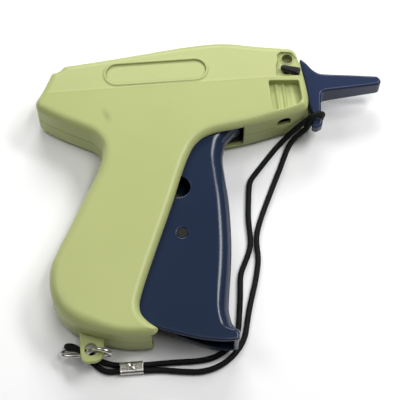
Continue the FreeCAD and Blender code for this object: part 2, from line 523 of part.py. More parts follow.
# ------------------------------------------- split ring, cord, ferrule, knot
RING = [(-66.8, -65.6, 2.4), (-61.2, -65.9, 3.2), (-56.4, -66.6, 4.2), (-50.8, -68.8, 6.4), (-46.6, -71.2, 9.2),
        (-44.9, -72.0, 12.4), (-47.2, -71.0, 15.2), (-51.2, -69.6, 14.6), (-53.8, -68.9, 11.4), (-56.3, -69.3, 7.8),
        (-61.6, -70.1, 8.0), (-66.4, -69.2, 6.9), (-68.4, -67.0, 4.4)]
RING_WIRE = 1.8
LAY = CORD_D / 2 + 0.05        # height of a cord that lies on the surface
CORD = [(54.1, 37.1, 13.4), (52.8, 36.8, 12.6), (51.2, 36.4, 11.2), (49.2, 35.7, 9.2), (47.0, 34.9, 7.0), (44.8, 33.9, 4.9),
        (42.6, 32.5, 3.1), (39.6, 30.2, 1.7), (34.0, 24.0, LAY), (28.7, 17.8, LAY), (26.0, 14.6, LAY), (24.8, 12.2, LAY),
        (24.0, 7.6, LAY), (23.2, 1.4, LAY), (22.4, -5.4, LAY), (22.3, -11.6, LAY), (22.4, -16.4, LAY), (21.9, -20.6, LAY),
        (20.2, -25.3, LAY), (18.0, -29.7, LAY), (16.1, -33.9, LAY), (15.4, -38.4, LAY), (15.0, -43.0, LAY),
        (14.4, -48.0, LAY), (13.3, -55.6, LAY), (11.9, -63.6, LAY), (7.4, -69.6, LAY), (0.6, -73.6, LAY), (-7.2, -74.6, LAY),
        (-15.6, -74.3, LAY), (-24.0, -74.3, LAY), (-31.4, -74.5, 1.5), (-37.0, -74.15, 1.65), (-42.0, -73.8, 1.5),
        (-45.8, -73.2, 1.7), (-50.2, -71.9, 3.3), (-54.2, -70.0, 5.2), (-57.9, -67.6, 6.3), (-61.6, -65.9, 6.3),
        (-65.0, -64.9, 5.3), (-65.6, -63.1, 3.0), (-62.4, -62.9, LAY), (-59.0, -65.8, LAY), (-56.0, -69.4, LAY),
        (-52.6, -73.3, LAY), (-48.4, -76.4, LAY), (-43.0, -76.4, 1.5), (-37.0, -76.75, 1.65), (-31.0, -77.1, 1.5),
        (-23.4, -77.3, LAY), (-14.6, -78.9, LAY), (-5.6, -79.9, LAY), (3.2, -77.6, LAY), (10.4, -72.2, LAY),
        (14.9, -65.6, LAY), (16.6, -58.4, LAY), (18.8, -49.7, LAY), (22.0, -40.1, LAY), (24.2, -31.6, LAY),
        (25.1, -26.0, LAY), (24.9, -20.6, LAY), (25.2, -16.0, LAY), (26.6, -10.9, LAY), (29.9, -2.9, LAY), (35.9, 9.9, LAY),
        (40.3, 19.0, LAY), (42.6, 24.2, LAY), (44.6, 28.4, 1.5), (46.2, 30.9, 2.9), (48.0, 32.4, 4.7), (50.0, 33.5, 6.4),
        (52.2, 34.3, 8.2), (54.1, 34.9, 9.7)]


def path_wire(pts, closed):
    P = [V(*q) for q in pts]
    n = len(P)
    edges, radii = [], []
    prev = None if closed else P[0]
    first = None
    for i in (range(n) if closed else range(1, n - 1)):
        p, c, q = P[i - 1], P[i], P[(i + 1) % n]
        a, b = p - c, q - c
        ang = math.pi - a.getAngle(b)
        r = 0.45 * min(a.Length, b.Length) / math.tan(ang / 2)
        t = 0.45 * min(a.Length, b.Length)
        s = c + V(a).normalize() * t
        e = c + V(b).normalize() * t
        bis = (V(a).normalize() + V(b).normalize()).normalize()
        m = c + bis * (r / math.cos(ang / 2) - r)
        if prev is not None:
            edges.append(Part.LineSegment(prev, s).toShape())
        else:
            first = s
        edges.append(Part.Arc(s, m, e).toShape())
        radii.append(round(r, 1))
        prev = e
    edges.append(Part.LineSegment(prev, first if closed else P[-1]).toShape())
    return Part.Wire(edges), radii


def tube(pts, d, closed=False):
    w, radii = path_wire(pts, closed)
    e = w.Edges[0]
    t = e.tangentAt(e.FirstParameter)
    prof = Part.Wire(Part.makeCircle(d / 2, e.valueAt(e.FirstParameter), t))
    s = w.makePipeShell([prof], True, True)
    want = math.pi * d * d / 4 * w.Length
    print("tube length %.1f  volume %.1f of %.1f  radii %s" % (w.Length, s.Volume, want, radii))
    return s


w, radii = path_wire(RING, True)
pieces = []
for e in w.Edges:
    t = e.tangentAt(e.FirstParameter)
    prof = Part.Wire(Part.makeCircle(RING_WIRE / 2, e.valueAt(e.FirstParameter), t))
    pieces.append(Part.Wire([e]).makePipeShell([prof], True, True))
ring = pieces[0].fuse(pieces[1:])
print("ring length %.1f  volume %.1f of %.1f  radii %s" % (w.Length, ring.Volume, math.pi * RING_WIRE ** 2 / 4 * w.Length, radii))
put("split_ring", ring)
put("cord", tube(CORD, CORD_D))
fer = box(-42.2, -78.45, 0.05, -31.8, -72.45, 3.3)
fer = fillet(fer, lambda e: abs(e.CenterOfMass.x + 37.0) < 0.01, 1.4, "ferrule")
slot = xcyl(-43, -31, -76.75, 1.68, CORD_D / 2 + 0.06).fuse([
    xcyl(-43, -31, -74.15, 1.68, CORD_D / 2 + 0.06), box(-43, -76.75, 1.68 - 1.31, -31, -74.15, 1.68 + 1.31)])
put("cord_ferrule", fer.cut(slot))
# knot round the leg of the cap: two wraps and the crossing lump behind
band = prism([(55.3, 34.5, 1.0), (63.7, 34.5, 1.0), (63.7, 39.1, 1.0), (55.3, 39.1, 1.0)], 7.0, 17.5)
band = fillet(band, lambda e: e.Length > 2, 1.0, "knot")
band = band.fuse(Part.makeSphere(2.0, V(57.5, 36.6, 7.6)))
band = band.cut(box(56.6, 30, 9.1, 61.7, 45, 15.4))
put("cord_knot", band)

for name, s in NODES.items():
    s.exportStep("parts/%s.step" % name)
xs = [n for n in NODES if n not in ("cord", "cord_ferrule", "cord_knot")]
bb = FreeCAD.BoundBox(NODES["left_casing"].BoundBox)
for n in xs:
    bb.add(NODES[n].BoundBox)
print("box without cord: x %.3f..%.3f y %.3f..%.3f z %.3f..%.3f" % (bb.XMin, bb.XMax, bb.YMin, bb.YMax, bb.ZMin, bb.ZMax))
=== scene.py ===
import json
import math

import bpy
import numpy as np
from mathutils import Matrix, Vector


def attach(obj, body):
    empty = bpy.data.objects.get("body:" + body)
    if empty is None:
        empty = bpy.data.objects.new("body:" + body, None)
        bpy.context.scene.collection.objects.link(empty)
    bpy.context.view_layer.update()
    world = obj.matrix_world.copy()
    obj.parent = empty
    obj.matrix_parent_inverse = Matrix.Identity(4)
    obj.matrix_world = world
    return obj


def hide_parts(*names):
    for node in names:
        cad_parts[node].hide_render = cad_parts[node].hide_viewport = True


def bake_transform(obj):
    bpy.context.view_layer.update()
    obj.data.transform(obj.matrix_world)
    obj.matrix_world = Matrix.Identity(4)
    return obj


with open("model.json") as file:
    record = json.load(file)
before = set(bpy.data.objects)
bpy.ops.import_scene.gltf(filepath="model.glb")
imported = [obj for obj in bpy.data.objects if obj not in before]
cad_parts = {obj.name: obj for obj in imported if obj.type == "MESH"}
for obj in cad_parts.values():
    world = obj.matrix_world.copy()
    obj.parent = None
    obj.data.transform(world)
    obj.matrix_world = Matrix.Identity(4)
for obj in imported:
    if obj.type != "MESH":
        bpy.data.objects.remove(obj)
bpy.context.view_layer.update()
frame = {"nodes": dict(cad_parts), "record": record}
NODE = frame["nodes"]

# Drawing coordinates are in millimetres; the frame's are in metres, shifted by ORG.
ORG = (9.179, 2.483)
THICK = 24.5
ZM = THICK / 2


def M(p):
    return Vector(((p[0] - ORG[0]) / 1000, (p[1] - ORG[1]) / 1000, p[2] / 1000))


def link(ob):
    bpy.context.scene.collection.objects.link(ob)
    return ob


# -------------------------------------------------------------------- camera
AZ, EL, DIST = math.radians(-4.8), math.radians(64.0), 0.600
TARGET = M((0, 0, 12.5))
back = Vector((math.sin(AZ) * math.cos(EL), -math.cos(AZ) * math.cos(EL), math.sin(EL)))
cam_data = bpy.data.cameras.new("camera")
cam_data.sensor_width = 36
cam_data.sensor_fit = "AUTO"
cam_data.lens = 18 / math.tan(math.atan(0.0932 / DIST))
cam_data.clip_start = 0.01
cam_data.clip_end = 20
cam = link(bpy.data.objects.new("camera", cam_data))
cam.location = TARGET + back * DIST
cam.rotation_euler = (-back).to_track_quat("-Z", "Y").to_euler()
bpy.context.scene.camera = cam

# --------------------------------------------------------------- cord's line
LAY = 1.3
CORD_D = 2.5
CORD = [(54.1, 37.1, 13.4), (52.8, 36.8, 12.6), (51.2, 36.4, 11.2), (49.2, 35.7, 9.2), (47.0, 34.9, 7.0), (44.8, 33.9, 4.9),
        (42.6, 32.5, 3.1), (39.6, 30.2, 1.7), (34.0, 24.0, LAY), (28.7, 17.8, LAY), (26.0, 14.6, LAY), (24.8, 12.2, LAY),
        (24.0, 7.6, LAY), (23.2, 1.4, LAY), (22.4, -5.4, LAY), (22.3, -11.6, LAY), (22.4, -16.4, LAY), (21.9, -20.6, LAY),
        (20.2, -25.3, LAY), (18.0, -29.7, LAY), (16.1, -33.9, LAY), (15.4, -38.4, LAY), (15.0, -43.0, LAY),
        (14.4, -48.0, LAY), (13.3, -55.6, LAY), (11.9, -63.6, LAY), (7.4, -69.6, LAY), (0.6, -73.6, LAY), (-7.2, -74.6, LAY),
        (-15.6, -74.3, LAY), (-24.0, -74.3, LAY), (-31.4, -74.5, 1.5), (-37.0, -74.15, 1.65), (-42.0, -73.8, 1.5),
        (-45.8, -73.2, 1.7), (-50.2, -71.9, 3.3), (-54.2, -70.0, 5.2), (-57.9, -67.6, 6.3), (-61.6, -65.9, 6.3),
        (-65.0, -64.9, 5.3), (-65.6, -63.1, 3.0), (-62.4, -62.9, LAY), (-59.0, -65.8, LAY), (-56.0, -69.4, LAY),
        (-52.6, -73.3, LAY), (-48.4, -76.4, LAY), (-43.0, -76.4, 1.5), (-37.0, -76.75, 1.65), (-31.0, -77.1, 1.5),
        (-23.4, -77.3, LAY), (-14.6, -78.9, LAY), (-5.6, -79.9, LAY), (3.2, -77.6, LAY), (10.4, -72.2, LAY),
        (14.9, -65.6, LAY), (16.6, -58.4, LAY), (18.8, -49.7, LAY), (22.0, -40.1, LAY), (24.2, -31.6, LAY),
        (25.1, -26.0, LAY), (24.9, -20.6, LAY), (25.2, -16.0, LAY), (26.6, -10.9, LAY), (29.9, -2.9, LAY), (35.9, 9.9, LAY),
        (40.3, 19.0, LAY), (42.6, 24.2, LAY), (44.6, 28.4, 1.5), (46.2, 30.9, 2.9), (48.0, 32.4, 4.7), (50.0, 33.5, 6.4),
        (52.2, 34.3, 8.2), (54.1, 34.9, 9.7)]


def nurbs_line(name, pts, closed=False, res=10):
    """Points along a smooth NURBS line whose control points are pts (metres)."""
    cu = bpy.data.curves.new(name, "CURVE")
    cu.dimensions = "3D"
    sp = cu.splines.new("NURBS")
    sp.points.add(len(pts) - 1)
    for q, p in zip(sp.points, pts):
        q.co = (p[0], p[1], p[2], 1)
    sp.order_u = 3
    if closed:
        sp.use_cyclic_u = True
    else:
        sp.use_endpoint_u = True
    sp.resolution_u = res
    ob = link(bpy.data.objects.new(name, cu))
    me = bpy.data.meshes.new_from_object(ob)
    out = np.array([v.co for v in me.vertices], float)
    bpy.data.meshes.remove(me)
    bpy.data.objects.remove(ob)
    bpy.data.curves.remove(cu)
    return out


def resample(line, step, closed=False):
    if closed:
        line = np.vstack([line, line[:1]])
    seg = np.linalg.norm(np.diff(line, axis=0), axis=1)
    keep = np.concatenate([[True], seg > 1e-7])
    line = line[keep]
    seg = np.linalg.norm(np.diff(line, axis=0), axis=1)
    s = np.concatenate([[0], np.cumsum(seg)])
    n = max(8, int(round(s[-1] / step)))
    u = np.linspace(0, s[-1], n + 1)
    if closed:
        u = u[:-1]
    return np.stack([np.interp(u, s, line[:, k]) for k in range(3)], 1), s[-1]


def frames_along(line, closed=False):
    """Tangent and two side directions at each point, turning as little as possible."""
    n = len(line)
    if closed:
        t = np.roll(line, -1, 0) - np.roll(line, 1, 0)
    else:
        t = np.gradient(line, axis=0)
    t /= np.linalg.norm(t, axis=1)[:, None]
    side = np.zeros((n, 3))
    ref = np.array([0, 0, 1.0]) if abs(t[0][2]) < 0.8 else np.array([1.0, 0, 0])
    a = ref - t[0] * np.dot(ref, t[0])
    side[0] = a / np.linalg.norm(a)
    for i in range(1, n):
        a = side[i - 1] - t[i] * np.dot(side[i - 1], t[i])
        side[i] = a / np.linalg.norm(a)
    if closed:
        # share out the twist that is left where the ends meet
        a = side[-1] - t[0] * np.dot(side[-1], t[0])
        a /= np.linalg.norm(a)
        ang = math.atan2(np.dot(np.cross(a, side[0]), t[0]), np.dot(a, side[0]))
        w = np.arange(n) / n * ang
        other = np.cross(t, side)
        side = side * np.cos(w)[:, None] + other * np.sin(w)[:, None]
    return t, side, np.cross(t, side)


def new_mesh(name, verts, faces, smooth=True):
    me = bpy.data.meshes.new(name)
    me.from_pydata([tuple(v) for v in verts], [], [tuple(f) for f in faces])
    me.update()
    if smooth:
        me.polygons.foreach_set("use_smooth", [True] * len(me.polygons))
    return link(bpy.data.objects.new(name, me))


def tube_mesh(name, line, radius, around=24, closed=False, shape=None, caps=True):
    """A tube along line; shape(i, angle) -> radius factor, both arrays."""
    t, a, b = frames_along(line, closed)
    n = len(line)
    ang = np.arange(around) * 2 * math.pi / around
    rr = radius[:, None] if isinstance(radius, np.ndarray) else radius
    r = rr * np.ones((n, around))
    if shape is not None:
        r = r * shape(np.arange(n)[:, None], ang[None, :])
    v = line[:, None, :] + r[..., None] * (a[:, None, :] * np.cos(ang)[None, :, None] + b[:, None, :] * np.sin(ang)[None, :, None])
    verts = v.reshape(-1, 3)
    i = np.arange(n if closed else n - 1)
    j = np.arange(around)
    I, J = np.meshgrid(i, j, indexing="ij")
    I2, J2 = (I + 1) % n, (J + 1) % around
    f = np.stack([I * around + J, I * around + J2, I2 * around + J2, I2 * around + J], -1).reshape(-1, 4)
    faces = f.tolist()
    if caps and not closed:
        faces.append(list(range(around))[::-1])
        faces.append([(n - 1) * around + k for k in range(around)])
    return new_mesh(name, verts, faces)


def braid(step, radius, strands=8, pitch=0.0062, depth=0.075):
    """Relief of a braided sheath: two sets of strands that pass over and under."""
    def shape(i, ang):
        u = i * step / pitch * 2 * math.pi
        k = strands
        p = (k * ang + u * 1.0 * k / 4) / 1.0
        q = (k * ang - u * 1.0 * k / 4) / 1.0
        over = 0.5 + 0.5 * np.tanh(3.0 * np.sin((p + q) / 4) * np.sin((p - q) / 4) * 2)
        ra = np.abs(np.cos(p / 2)) ** 0.7
        rb = np.abs(np.cos(q / 2)) ** 0.7
        h = over * ra + (1 - over) * rb
        return 1 - depth + depth * h
    return shape


cord_pts = [M(p) for p in CORD]
cord_line = nurbs_line("cord_line", cord_pts)
STEP = 0.00030
cord_fine, cord_len = resample(cord_line, STEP)
print("cord length", round(cord_len, 4), "points", len(cord_fine))
# pinched where the ferrule's crimp bites
pinch = np.exp(-((cord_fine[:, 0] - M((-37, 0, 0))[0]) / 0.0014) ** 2) * (cord_fine[:, 1] < M((0, -70, 0))[1])
cord = tube_mesh("wrist_cord", cord_fine, CORD_D / 2000 * 1.06 * (1 - 0.30 * pinch), 24, False, braid(STEP, CORD_D / 2000))
# hitch round the leg of the cap: the loop over the front, then the second turn behind
HITCH = [[(53.8, 34.8, 9.5), (55.0, 35.2, 11.4), (55.7, 36.1, 14.8), (57.1, 37.2, 17.8), (59.8, 38.1, 18.4),
          (62.0, 38.6, 17.0), (62.5, 39.8, 13.2), (62.1, 40.8, 10.2), (60.4, 41.2, 8.0), (57.8, 40.8, 7.6), (55.6, 39.8, 9.2),
          (54.4, 38.6, 11.8), (54.2, 37.4, 13.3), (53.6, 36.9, 13.1)],
         [(56.4, 38.6, 15.2), (55.4, 37.6, 14.6), (54.6, 36.4, 12.6), (54.4, 35.8, 10.4), (54.8, 36.8, 8.6), (56.4, 38.8, 7.8), (59.0, 39.8, 7.6),
          (61.2, 39.8, 8.8), (61.9, 39.2, 11.2), (61.5, 38.5, 13.6), (60.4, 38.4, 15.2)]]
hitches = []
for k, pts in enumerate(HITCH):
    fine, _ = resample(nurbs_line("hitch_line", [M(p) for p in pts]), STEP)
    hitches.append(tube_mesh("hitch_turn_%d" % (k + 1), fine, CORD_D / 2000 * 1.06, 24, False, braid(STEP, CORD_D / 2000)))

# --------------------------------------------------------- implicit surfaces


def rounded_poly(pts, step=0.45):
    """The drawing's outline with its corners rounded, as a dense polygon."""
    P = [np.array(p[:2], float) for p in pts]
    n = len(P)
    out = []
    for i in range(n):
        p, c, q = P[i - 1], P[i], P[(i + 1) % n]
        a, b = p - c, q - c
        la, lb = np.linalg.norm(a), np.linalg.norm(b)
        a, b = a / la, b / lb
        ang = math.pi - math.acos(max(-1, min(1, float(a @ b))))
        if ang < 1e-3:
            out.append(c)
            continue
        auto = 0.45 * min(la, lb) / math.tan(ang / 2)
        rmax = 0.495 * min(la, lb) / math.tan(ang / 2)
        r = auto if len(pts[i]) < 3 else min(pts[i][2], rmax)
        if r < 1e-3:
            out.append(c)
            continue
        t = r * math.tan(ang / 2)
        s, e = c + a * t, c + b * t
        bis = (a + b) / np.linalg.norm(a + b)
        o = c + bis * (r / math.cos(ang / 2))
        k = max(2, int(math.ceil(r * ang / step)))
        a0 = math.atan2(*(s - o)[::-1])
        a1 = math.atan2(*(e - o)[::-1])
        d = (a1 - a0 + math.pi) % (2 * math.pi) - math.pi
        for m in range(k + 1):
            w = a0 + d * m / k
            out.append(o + r * np.array([math.cos(w), math.sin(w)]))
    return np.array(out)


class Field:
    """Signed distance to a closed outline in the drawing plane, smooth between its samples."""

    def __init__(self, pts, band=9.0, h=0.5, blur=1, rounded=True):
        P = rounded_poly(pts) if rounded else np.array(pts, float)
        lo, hi = P.min(0) - band - 1, P.max(0) + band + 1
        self.h, self.lo = h, lo
        nx, ny = (np.ceil((hi - lo) / h).astype(int) + 1)
        X = lo[0] + np.arange(nx) * h
        Y = lo[1] + np.arange(ny) * h
        D = np.full((nx, ny), float(band * band))
        Q = np.roll(P, -1, 0)
        for p, q in zip(P, Q):
            d = q - p
            L2 = d @ d
            if L2 < 1e-12:
                continue
            i0 = max(0, int((min(p[0], q[0]) - band - lo[0]) / h))
            i1 = min(nx, int((max(p[0], q[0]) + band - lo[0]) / h) + 2)
            j0 = max(0, int((min(p[1], q[1]) - band - lo[1]) / h))
            j1 = min(ny, int((max(p[1], q[1]) + band - lo[1]) / h) + 2)
            x, y = X[i0:i1, None] - p[0], Y[None, j0:j1] - p[1]
            t = np.clip((x * d[0] + y * d[1]) / L2, 0, 1)
            s = (x - t * d[0]) ** 2 + (y - t * d[1]) ** 2
            D[i0:i1, j0:j1] = np.minimum(D[i0:i1, j0:j1], s)
        D = np.sqrt(D)
        inside = np.zeros((nx, ny), bool)
        for j in range(ny):
            y = Y[j] + 1e-7
            c = (P[:, 1] > y) != (Q[:, 1] > y)
            if c.any():
                xs = P[c, 0] + (y - P[c, 1]) / (Q[c, 1] - P[c, 1]) * (Q[c, 0] - P[c, 0])
                inside[:, j] = (xs[None, :] > X[:, None]).sum(1) % 2 == 1
        S = np.where(inside, -D, D)
        for _ in range(blur):
            S[1:-1] = 0.25 * S[:-2] + 0.5 * S[1:-1] + 0.25 * S[2:]
            S[:, 1:-1] = 0.25 * S[:, :-2] + 0.5 * S[:, 1:-1] + 0.25 * S[:, 2:]
        self.S, self.n = S, (nx, ny)

    def __call__(self, x, y):
        nx, ny = self.n
        u = (x - self.lo[0]) / self.h
        v = (y - self.lo[1]) / self.h
        out = np.maximum(np.maximum(-u, u - (nx - 1)), np.maximum(-v, v - (ny - 1))) * self.h
        u = np.clip(u, 1, nx - 3.001)
        v = np.clip(v, 1, ny - 3.001)
        i, j = np.floor(u).astype(int), np.floor(v).astype(int)
        a, b = u - i, v - j

        def w(t):
            return (-0.5 * t + t * t - 0.5 * t ** 3, 1 - 2.5 * t * t + 1.5 * t ** 3, 0.5 * t + 2 * t * t - 1.5 * t ** 3,
                    -0.5 * t * t + 0.5 * t ** 3)
        wa, wb = w(a), w(b)
        r = 0
        for m in range(4):
            row = 0
            for k in range(4):
                row = row + wb[k] * self.S[i + m - 1, j + k - 1]
            r = r + wa[m] * row
        return r + np.maximum(out, 0)


def smax(a, b, r):
    h = np.maximum(r - np.abs(a - b), 0)
    return np.maximum(a, b) + h * h / (4 * r)


def smin(a, b, r):
    h = np.maximum(r - np.abs(a - b), 0)
    return np.minimum(a, b) - h * h / (4 * r)


def rounded_slab(d, zc, z, half, r):
    """Extrusion of a plane shape d, half thick on each side of zc, with its edges rounded by r."""
    a, b = d + r, np.abs(z - zc) - half + r
    return np.minimum(np.maximum(a, b), 0) + np.sqrt(np.maximum(a, 0) ** 2 + np.maximum(b, 0) ** 2) - r


def slab(d, z, z0, z1, r=0.25):
    return smax(d, np.maximum(z0 - z, z - z1), r)


def disc(x, y, cx, cy, rad):
    return np.sqrt((x - cx) ** 2 + (y - cy) ** 2) - rad


def rect(x, y, x0, y0, x1, y1, r=0.0):
    a = np.abs(x - (x0 + x1) / 2) - (x1 - x0) / 2 + r
    b = np.abs(y - (y0 + y1) / 2) - (y1 - y0) / 2 + r
    return np.minimum(np.maximum(a, b), 0) + np.sqrt(np.maximum(a, 0) ** 2 + np.maximum(b, 0) ** 2) - r


def capsule(x, y, x0, y0, x1, y1, rad):
    dx, dy = x1 - x0, y1 - y0
    t = np.clip(((x - x0) * dx + (y - y0) * dy) / (dx * dx + dy * dy), 0, 1)
    return np.sqrt((x - x0 - t * dx) ** 2 + (y - y0 - t * dy) ** 2) - rad


EDGES = [((0, 0, 0), (1, 0, 0)), ((0, 1, 0), (1, 1, 0)), ((0, 0, 1), (1, 0, 1)), ((0, 1, 1), (1, 1, 1)),
         ((0, 0, 0), (0, 1, 0)), ((1, 0, 0), (1, 1, 0)), ((0, 0, 1), (0, 1, 1)), ((1, 0, 1), (1, 1, 1)),
         ((0, 0, 0), (0, 0, 1)), ((1, 0, 0), (1, 0, 1)), ((0, 1, 0), (0, 1, 1)), ((1, 1, 0), (1, 1, 1))]


def implicit_mesh(name, f, lo, hi, h, polish=3, masks=None):
    """Quad mesh of f = 0 between lo and hi (drawing mm), with normals from f."""
    lo, hi = np.array(lo, float), np.array(hi, float)
    n = np.ceil((hi - lo) / h).astype(int) + 1
    x = (lo[0] + np.arange(n[0]) * h)[:, None, None]
    y = (lo[1] + np.arange(n[1]) * h)[None, :, None]
    z = (lo[2] + np.arange(n[2]) * h)[None, None, :]
    F = np.broadcast_to(f(x, y, z), tuple(n)).astype(np.float32)
    S = F < 0
    c = S[:-1, :-1, :-1].astype(np.int8)
    for dx, dy, dz in ((1, 0, 0), (0, 1, 0), (1, 1, 0), (0, 0, 1), (1, 0, 1), (0, 1, 1), (1, 1, 1)):
        c = c + S[dx:n[0] - 1 + dx, dy:n[1] - 1 + dy, dz:n[2] - 1 + dz]
    act = np.argwhere((c > 0) & (c < 8))
    idx = np.full(c.shape, -1, np.int32)
    idx[act[:, 0], act[:, 1], act[:, 2]] = np.arange(len(act))
    tot = np.zeros((len(act), 3))
    cnt = np.zeros(len(act))
    for p, q in EDGES:
        a, b = act + p, act + q
        fa = F[a[:, 0], a[:, 1], a[:, 2]].astype(float)
        fb = F[b[:, 0], b[:, 1], b[:, 2]].astype(float)
        k = (fa < 0) != (fb < 0)
        t = np.where(k, fa / np.where(k, fa - fb, 1), 0)
        pos = a + (b - a) * t[:, None]
        tot[k] += pos[k]
        cnt[k] += 1
    V = lo + tot / cnt[:, None] * h
    cell0 = V.copy()
    faces = []
    for ax in range(3):
        o1, o2 = [(1, 2), (2, 0), (0, 1)][ax]
        sl0 = [slice(None)] * 3
        sl1 = [slice(None)] * 3
        sl0[ax], sl1[ax] = slice(0, -1), slice(1, None)
        A, B = S[tuple(sl0)], S[tuple(sl1)]
        e = np.argwhere(A != B)
        e = e[(e[:, o1] > 0) & (e[:, o2] > 0) & (e[:, o1] < n[o1] - 1) & (e[:, o2] < n[o2] - 1)]
        flip = A[e[:, 0], e[:, 1], e[:, 2]]
        q = []
        for s1, s2 in ((-1, -1), (0, -1), (0, 0), (-1, 0)):
            cc = e.copy()
            cc[:, o1] += s1
            cc[:, o2] += s2
            q.append(idx[cc[:, 0], cc[:, 1], cc[:, 2]])
        q = np.stack(q, 1)
        q[~flip] = q[~flip][:, ::-1]
        faces.append(q)
    faces = np.vstack(faces)

    def at(v):
        return np.broadcast_to(f(v[:, 0], v[:, 1], v[:, 2]), (len(v),)).astype(float)

    def grad(v, e=0.08):
        g = np.zeros_like(v)
        for k in range(3):
            d = np.zeros(3)
            d[k] = e
            g[:, k] = (at(v + d) - at(v - d)) / (2 * e)
        return g
    for _ in range(polish):
        g = grad(V)
        g2 = np.maximum((g ** 2).sum(1), 0.05)
        stepv = -(at(V) / g2)[:, None] * g
        ln = np.linalg.norm(stepv, axis=1)
        stepv *= np.minimum(1, 0.4 * h / np.maximum(ln, 1e-9))[:, None]
        V = V + stepv
        off = V - cell0
        ln = np.linalg.norm(off, axis=1)
        V = cell0 + off * np.minimum(1, 0.6 * h / np.maximum(ln, 1e-9))[:, None]
    g = grad(V, 0.12)
    N = g / np.maximum(np.linalg.norm(g, axis=1), 1e-9)[:, None]
    W = np.stack([(V[:, 0] - ORG[0]) / 1000, (V[:, 1] - ORG[1]) / 1000, V[:, 2] / 1000], 1)
    me = bpy.data.meshes.new(name)
    me.vertices.add(len(W))
    me.vertices.foreach_set("co", W.astype(np.float32).ravel())
    me.loops.add(len(faces) * 4)
    me.loops.foreach_set("vertex_index", faces.astype(np.int32).ravel())
    me.polygons.add(len(faces))
    me.polygons.foreach_set("loop_start", np.arange(len(faces), dtype=np.int32) * 4)
    me.polygons.foreach_set("use_smooth", [True] * len(faces))
    me.update(calc_edges=True)
    me.validate()
    me.normals_split_custom_set_from_vertices([tuple(q) for q in N])
    # how closed in and how sharp the surface is at each point
    vals = {"cavity": np.clip(1 - at(V + N * 1.1) / 1.1, 0, 1), "edge": np.clip(1 + at(V - N * 0.9) / 0.9, 0, 1)}
    if masks is not None:
        vals.update(masks(V[:, 0], V[:, 1], V[:, 2]))
    for key, val in vals.items():
        me.attributes.new(key, "FLOAT", "POINT").data.foreach_set("value", np.ascontiguousarray(val, np.float32))
    print("implicit", name, len(W), "verts", len(faces), "faces")
    return link(bpy.data.objects.new(name, me))


# ------------------------------------------------------------ casing's shape
OUTLINE = [
    (-64.4, 72.3, 2.5), (-45, 74.1), (-28, 76.0), (-14, 77.7), (-2, 79.1), (8, 79.75), (15, 79.9), (22.5, 79.1),
    (31.5, 77.0), (43.0, 74.9), (52.3, 73.4, 4.5), (54.3, 62.0), (55.5, 50.0), (55.7, 44.5), (54.6, 39.4, 3.2),
    (44.0, 36.6), (36.5, 35.0), (28.0, 33.0), (17.2, 31.4), (8.6, 30.2), (2.6, 27.6), (-1.6, 23.2), (-5.0, 16.4),
    (-8.2, 8.4), (-11.4, -0.6), (-15.6, -11.4), (-20.2, -22.8), (-24.9, -34.6), (-28.9, -45.0), (-31.3, -52.4),
    (-31.2, -57.2), (-28.2, -61.4), (-23.2, -65.3, 1.0), (-25.6, -67.6, 1.2), (-33.4, -67.9), (-41.0, -66.9),
    (-50.0, -64.2), (-59.6, -60.4), (-66.2, -54.6), (-70.0, -46.4), (-70.9, -38.4), (-69.9, -30.6), (-66.5, -23.6),
    (-62.5, -15.8), (-58.4, -8.0), (-54.3, 0.2), (-50.0, 7.6), (-46.2, 15.0), (-44.0, 21.6), (-43.4, 27.6),
    (-46.8, 33.2), (-54.0, 37.4), (-62.0, 41.6), (-69.0, 46.0), (-73.6, 49.4), (-74.2, 53.2), (-71.2, 57.6)]
NOTCH = [(-80, 90, 0.1), (-59.4, 90, 0.1), (-59.5, 73.2, 0.8), (-61.0, 70.9), (-63.4, 69.5), (-66.0, 69.2, 0.1),
         (-80, 69.2, 0.1)]
MOUTH = [(23.6, 40.5, 0.1), (23.6, 20, 0.1), (30, -90, 0.1), (-21.0, -90, 0.1), (-21.0, -69.1, 0.1), (-24.0, -68.2), (-28.0, -66.95),
         (-33.6, -64.9, 1.0), (-40.0, -56),
         (-38.4, -42.5), (-29, -20), (-20.5, 0), (-13.0, 17), (-7.0, 28.5), (2.5, 36.0), (12.0, 38.6), (18.0, 40.5, 0.1)]
LUG = [(-58.9, -56.0, 0.1), (-58.9, -69.6, 5.3), (-58.4, -74.9, 5.0), (-48.2, -74.9, 5.0), (-48.2, -58.0, 0.1)]
LOCK_RECESS = [(41.6, 57.0, 1.0), (46.3, 56.8), (60.0, 56.5, 0.1), (60.0, 63.8, 0.1), (53.5, 64.2, 0.6), (52.4, 66.6, 1.6),
               (50.0, 70.0, 1.8), (45.0, 70.7, 1.0), (43.3, 69.2, 0.8), (43.2, 66.0, 1.0), (42.2, 63.4, 1.0)]
FINGER = [(37.4, 54.8, 0.8), (51.8, 53.7, 0.8), (52.2, 43.6, 1.6), (50.2, 41.2, 1.6), (44.8, 39.7, 2.0), (38.1, 38.8, 0.8)]
PIVOT, LEVER_PIVOT, WHEEL, AXIS_Y = (9.5, 43.0), (-20.5, 11.9), (34.6, 46.5), 55.5
SCREWS = [(-66.5, 55.0), (-35.0, 69.8), (30.0, 66.5), (-43.0, 36.6), (-54.8, -57.4), (28.6, 37.9)]
F_OUT, F_NOTCH, F_MOUTH = Field(OUTLINE), Field(NOTCH), Field(MOUTH)
F_LUG = Field(LUG, 5)
F_LOCK, F_FINGER = Field(LOCK_RECESS, 4, 0.3), Field(FINGER, 4, 0.3)
TZ0, TZ1 = 4.75, 19.75
EDGE, EDGE_GRIP = 4.0, 6.0


def crease(y):
    """How far each face falls towards the top of the barrel above the soft crease."""
    k = y - 56.6
    return 0.055 * 0.5 * (k + np.sqrt(k * k + 0.2)) - 0.05 * np.exp(-(k / 0.55) ** 2)


